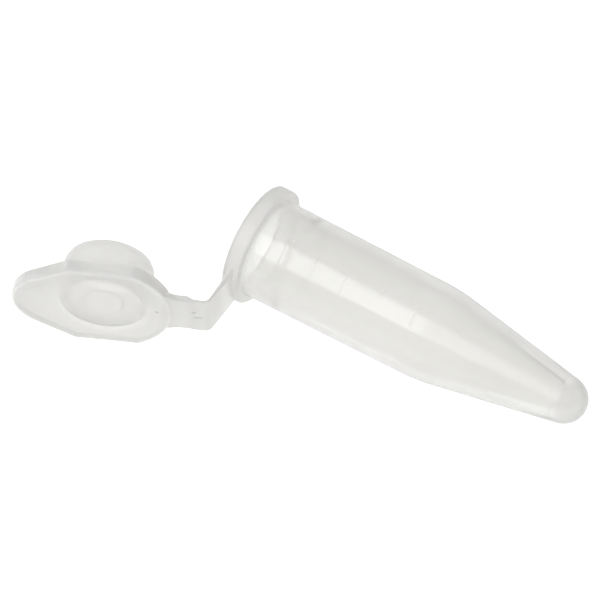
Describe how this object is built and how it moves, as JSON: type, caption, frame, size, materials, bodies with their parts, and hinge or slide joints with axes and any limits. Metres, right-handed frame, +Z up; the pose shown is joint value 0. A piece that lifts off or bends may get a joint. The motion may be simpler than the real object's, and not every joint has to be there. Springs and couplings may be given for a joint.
{
  "type": "microcentrifuge tube",
  "caption": "Conical microcentrifuge tube with a flanged mouth and an attached snap lid on a living hinge, lying open on its side.",
  "frame": {"origin": "on the table, under the middle of the tube as it lies open on its side", "axes": "+Z up; +X along the tube from the mouth to the tip, which dips 3.5 degrees to the table; the lid and its hinge are on the -Y side, with the hinge line nearly upright"},
  "size_m": [0.057, 0.0256, 0.0128],
  "materials": {
    "body_plastic": "natural translucent polypropylene, smooth and slightly warm grey",
    "hinge_plastic": "thin natural polypropylene film, satin",
    "lid_plastic": "natural translucent polypropylene, satin"
  },
  "bodies": {
    "tube": {"tube_body": "body_plastic", "rim_flange": "body_plastic", "hinge_arm": "hinge_plastic", "fold_web": "hinge_plastic"},
    "strap": {"hinge_strap": "hinge_plastic"},
    "lid": {"lid_web": "hinge_plastic", "lid_plate": "lid_plastic", "sealing_plug": "lid_plastic"}
  },
  "joints": [
    {"name": "fold_hinge", "type": "hinge", "parent": "tube", "child": "strap", "pos_m": [-0.00959, -0.00384, 0.00597], "axis": [0.0611, -0.0431, 0.9972], "range_deg": [-77.13, 64.9]},
    {"name": "lid_hinge", "type": "hinge", "parent": "strap", "child": "lid", "pos_m": [-0.01279, -0.00534, 0.0061], "axis": [0.0611, -0.0431, 0.9972], "range_deg": [-37.97, 30]}
  ]
}
